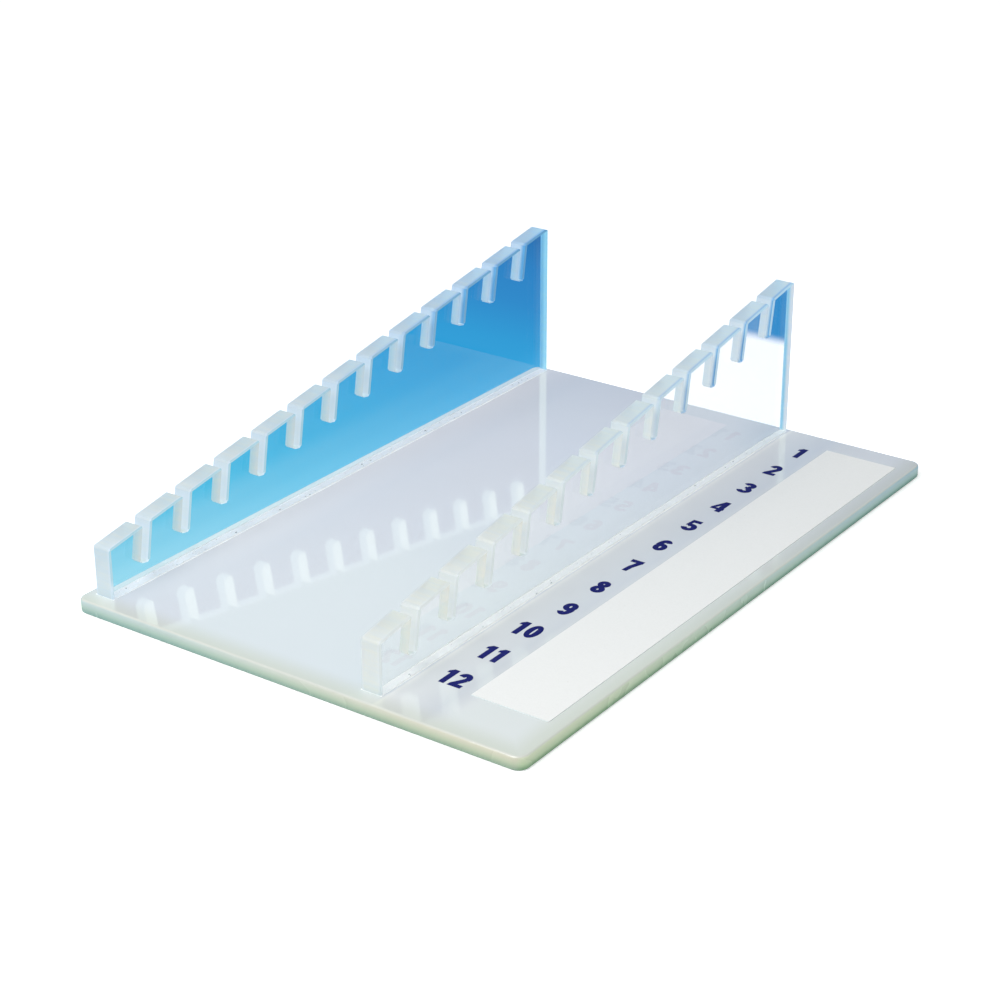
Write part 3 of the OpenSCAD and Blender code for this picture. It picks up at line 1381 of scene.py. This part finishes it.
    def build(self) -> None:
        """Prints a number beside each slot."""
        ink = self.finish.material()
        _, wall_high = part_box(Side.RIGHT.value)
        label_low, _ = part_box("write_on_label")
        _, plate_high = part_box("base_plate")
        band_middle = (wall_high.x + label_low.x) / 2
        for mount in frame["record"]["mounts"]:
            if not mount["name"].startswith("slot_"):
                continue
            number = str(int(mount["name"].removeprefix("slot_")))
            x = band_middle + (self.single_right if len(number) == 1 else self.double_right)
            y = mount["pos_m"][1] * self.row_share + self.past_slot
            piece = new_piece(f"number_{number}", self.ink_shape(number, x, y, plate_high.z), ink)
            LOG.info("%s: %d faces", piece.name, len(piece.data.polygons))


# ------------------------------------------------------------------------------------------ studio


@dataclass
class Studio:
    """A pale floor, soft light, and cards that only the clear and shiny parts see."""

    floor_colour: Colour = (0.95, 0.955, 0.96)
    floor_roughness: float = 0.8
    floor_ior: float = 1.4
    floor_glow: float = 0.42
    floor_size: float = 7.0
    floor_drop: float = 0.02 * MM
    world_colour: Colour = (1.0, 1.0, 1.0)
    world_strength: float = 0.59
    light_place: Point = (-0.05, -0.36)
    light_height: float = 0.42
    light_size: float = 0.36
    light_watts: float = 1.85
    # The two cards that lie just over the floor: their gaps from the rack, and how far they reach.
    card_gap: float = 2 * MM
    card_lift: float = 0.25 * MM
    card_width: float = 0.30
    card_before: float = 0.05
    card_past: float = 0.40
    behind_gap: float = 3 * MM
    behind_width: float = 0.60
    # The card beside the left wall: its colours from the low end on, and its tints near the rack and
    # away from it. The second tint ends past the middle of the row of colours.
    beside_past: float = 100 * MM
    beside: Stops = (
        (0.0, (0.260, 0.680, 0.850)), (0.30, (0.102, 0.526, 0.806)), (0.56, (0.040, 0.390, 0.742)),
        (0.69, (0.034, 0.338, 0.680)), (0.79, (0.033, 0.258, 0.597)), (0.89, (0.031, 0.221, 0.550)),
        (1.0, (0.028, 0.150, 0.412)),
    )
    beside_close: Colour = (1.25, 1.08, 1.05)
    close_limits: Limits = (11 * MM, 3 * MM)
    beside_away: Colour = (0.38, 0.90, 0.96)
    away_limits: Limits = (12 * MM, 22 * MM)
    away_until: Limits = (0.667, 0.62)
    # The card behind the rack. It is seen through the walls only far back, or after many bounces.
    behind_past: float = 45 * MM
    behind_bounces: float = 2.5
    behind: Stops = ((0.0, (0.26, 0.68, 0.85)), (0.42, (0.065, 0.48, 0.79)), (1.0, (0.025, 0.26, 0.60)))
    straight_limits: Limits = (1.05, 1.09)
    # The two cards that stand behind the rack: one is mirrored, and one is seen through the walls.
    upright_across: Limits = (-1.4, 0.6)
    upright_height: float = 0.7
    upright_grade: Limits = (0.23, 0.33)
    glow: Pair = ((0.24, 0.34, 0.54), (0.52, 0.70, 0.66))
    glow_past: float = 0.40
    dusk: Pair = ((0.27, 0.31, 0.44), (0.34, 0.40, 0.50))
    dusk_past: float = 0.39

    def flat_sheet(self, name: str, low: Sequence[float], high: Sequence[float],
                   material: bpy.types.Material) -> bpy.types.Object:
        """Makes a four-cornered sheet that isn't part of the rack, lying flat or standing along X.

        Args:
            name: its name.
            low: its left, near and lower corner.
            high: its right, far and upper corner.
            material: its material.

        Returns:
            The object.
        """
        (left, near, bottom), (right, far, top) = low, high
        corners = [(left, near, bottom), (right, near, bottom), (right, far, top), (left, far, top)]
        mesh = bpy.data.meshes.new(name)
        mesh.from_pydata(corners, [], [(0, 1, 2, 3)])
        mesh.materials.append(material)
        sheet = bpy.data.objects.new(name, mesh)
        bpy.context.scene.collection.objects.link(sheet)
        return sheet

    def floor_material(self) -> bpy.types.Material:
        """Makes the floor's matte finish.

        Returns:
            The material.
        """
        sketch = MaterialSketch("pale_floor")
        matte = sketch.surface(self.floor_colour, roughness=self.floor_roughness, ior=self.floor_ior)
        path = sketch.add("ShaderNodeLightPath").outputs
        seen = sketch.maths("MAXIMUM", path["Is Camera Ray"], path["Is Transmission Ray"])
        lift = sketch.add("ShaderNodeEmission", {"Strength": sketch.times(seen, self.floor_glow)}).outputs[0]
        return sketch.finish(sketch.add("ShaderNodeAddShader", {0: matte, 1: lift}).outputs[0])

    def beside_material(self, start: float, end: float, edge: float) -> bpy.types.Material:
        """Makes the material of the card beside the left wall.

        Args:
            start: where its first colour is along Y.
            end: where its last colour is.
            edge: its edge beside the rack along X.

        Returns:
            The material.
        """
        sketch = MaterialSketch("blue_card")
        x, y, _ = sketch.axes(sketch.place())
        share, from_edge = sketch.share(y, start, end), sketch.minus(edge, x)
        colour = sketch.washed(
            sketch.ramp(share, self.beside), sketch.span(from_edge, *self.close_limits), self.beside_close,
        )
        away = sketch.times(sketch.span(from_edge, *self.away_limits), sketch.span(share, *self.away_until))
        return sketch.finish(sketch.glow(sketch.washed(colour, away, self.beside_away)))

    def behind_material(self, start: float, end: float) -> bpy.types.Material:
        """Makes the material of the card behind the rack.

        Near the rack it shows only in mirrored light, and not straight through a clear wall.

        Args:
            start: where its first colour is along Y.
            end: where its last colour is.

        Returns:
            The material.
        """
        sketch = MaterialSketch("mirrored_blue_card")
        _, y, _ = sketch.axes(sketch.place())
        share = sketch.share(y, start, end)
        path = sketch.add("ShaderNodeLightPath").outputs
        deep = sketch.maths("GREATER_THAN", path["Ray Depth"], self.behind_bounces)
        shown = sketch.maths("MAXIMUM", deep, path["Is Reflection Ray"])
        shown = sketch.maths("MAXIMUM", shown, sketch.span(share, *self.straight_limits))
        nothing = sketch.add("ShaderNodeBsdfTransparent").outputs[0]
        return sketch.finish(sketch.mixed(shown, nothing, sketch.glow(sketch.ramp(share, self.behind))))

    def upright_material(self, name: str, colours: Pair) -> bpy.types.Material:
        """Makes the material of a card that stands behind the rack.

        Args:
            name: the material's name.
            colours: its colours, low down and high up.

        Returns:
            The material.
        """
        sketch = MaterialSketch(name)
        _, _, z = sketch.axes(sketch.place())
        share = sketch.share(z, *self.upright_grade)
        return sketch.finish(sketch.glow(sketch.ramp(share, tuple(zip((0.0, 1.0), colours)))))

    def hide_card(self, card: bpy.types.Object, seen_through: bool, mirrored: bool) -> None:
        """Hides a card from all but the clear or the shiny parts.

        Args:
            card: the card.
            seen_through: whether clear parts show it.
            mirrored: whether shiny parts mirror it.
        """
        card.visible_camera = False
        card.visible_diffuse = False
        card.visible_shadow = False
        card.visible_transmission = seen_through
        card.visible_glossy = mirrored

    def lay_cards(self, low: Vector, high: Vector) -> None:
        """Lays the blue cards on the floor, beside the rack and behind it.

        Args:
            low: the rack's lowest corner.
            high: the rack's highest corner.
        """
        edge, z, far = low.x - self.card_gap, self.card_lift, high.y + self.card_past
        beside = self.flat_sheet(
            "card_beside_left_wall", (edge - self.card_width, low.y - self.card_before, z), (edge, far, z),
            self.beside_material(low.y, high.y + self.beside_past, edge),
        )
        behind = self.flat_sheet(
            "card_behind", (edge, high.y + self.behind_gap, z), (edge + self.behind_width, far, z),
            self.behind_material(low.y, high.y + self.behind_past),
        )
        for card in (beside, behind):
            self.hide_card(card, seen_through=True, mirrored=True)

    def stand_cards(self, back: float) -> None:
        """Stands a mirrored card and a dusky card behind the rack.

        Args:
            back: the rack's far end along Y.
        """
        left, right = self.upright_across
        for name, past, colours, mirrored in (
            ("card_upright", self.glow_past, self.glow, True),
            ("card_dusk", self.dusk_past, self.dusk, False),
        ):
            card = self.flat_sheet(
                name, (left, back + past, 0.0), (right, back + past, self.upright_height),
                self.upright_material(name, colours),
            )
            self.hide_card(card, seen_through=not mirrored, mirrored=mirrored)

    def hang_light(self, aim: Vector) -> None:
        """Hangs the square soft light.

        Args:
            aim: the point that it faces.
        """
        lamp = bpy.data.lights.new("key_light", "AREA")
        lamp.size = self.light_size
        lamp.energy = self.light_watts
        light = bpy.data.objects.new("key_light", lamp)
        light.location = (*self.light_place, self.light_height)
        light.rotation_euler = (aim - light.location).to_track_quat("-Z", "Y").to_euler()
        bpy.context.scene.collection.objects.link(light)

    def light_world(self) -> None:
        """Lights everything evenly from all round."""
        world = bpy.data.worlds.new("studio")
        bpy.context.scene.world = world
        world.use_nodes = True
        backing = world.node_tree.nodes["Background"]
        backing.inputs["Color"].default_value = (*self.world_colour, 1.0)
        backing.inputs["Strength"].default_value = self.world_strength

    def build(self) -> None:
        """Sets the floor, the cards and the light."""
        low, high = CAD_BOX
        half = self.floor_size / 2
        floor = self.flat_sheet("studio_floor", (-half, -half, 0), (half, half, 0), self.floor_material())
        floor.location.z = -self.floor_drop
        self.lay_cards(low, high)
        self.stand_cards(high.y)
        self.light_world()
        self.hang_light((low + high) / 2)
        LOG.info("studio: a floor, four cards and one light")


@dataclass
class Viewpoint:
    """The camera, placed round the middle of the rack."""

    azimuth: float = 35.209
    elevation: float = 24.548
    distance: float = 511.99 * MM
    aim_right: float = -5.635 * MM
    aim_up: float = -10.238 * MM
    lens: float = 83.3115
    sensor: float = 36.0
    nearest: float = 0.01
    furthest: float = 50.0

    def build(self) -> None:
        """Sets the camera."""
        turn, tilt = math.radians(self.azimuth), math.radians(self.elevation)
        ahead = Vector((-math.sin(turn) * math.cos(tilt), math.cos(turn) * math.cos(tilt), -math.sin(tilt)))
        right = Vector((math.cos(turn), math.sin(turn), 0.0))
        up = right.cross(ahead)
        low, high = CAD_BOX
        aim = (low + high) / 2 + right * self.aim_right + up * self.aim_up
        aim -= ahead * (aim - (low + high) / 2).dot(ahead)
        lens = bpy.data.cameras.new("rack_camera")
        lens.sensor_width = self.sensor
        lens.lens = self.lens
        lens.clip_start = self.nearest
        lens.clip_end = self.furthest
        camera = bpy.data.objects.new("rack_camera", lens)
        placed = Matrix((right, up, -ahead)).transposed().to_4x4()
        placed.translation = aim - ahead * self.distance
        camera.matrix_world = placed
        bpy.context.scene.collection.objects.link(camera)
        bpy.context.scene.camera = camera
        LOG.info("camera: %.0f mm lens, %.0f mm from the rack", self.lens, self.distance / MM)


def main() -> None:
    """Builds everything in order."""
    logging.basicConfig(level=logging.INFO, format="%(name)s: %(message)s")
    bpy.context.scene.view_settings.view_transform = "Standard"
    Viewpoint().build()
    BasePlate().build()
    SlottedWall(Side.LEFT, CLEAR_SHEET, seed=41).build()
    SlottedWall(Side.RIGHT, PALER_LIT_SHEET, seed=83, cement=CementFinish(body=(0.92, 0.93, 0.91))).build()
    WriteOnLabel().build()
    PrintedNumbers().build()
    Studio().build()


if __name__ == "__main__":
    main()
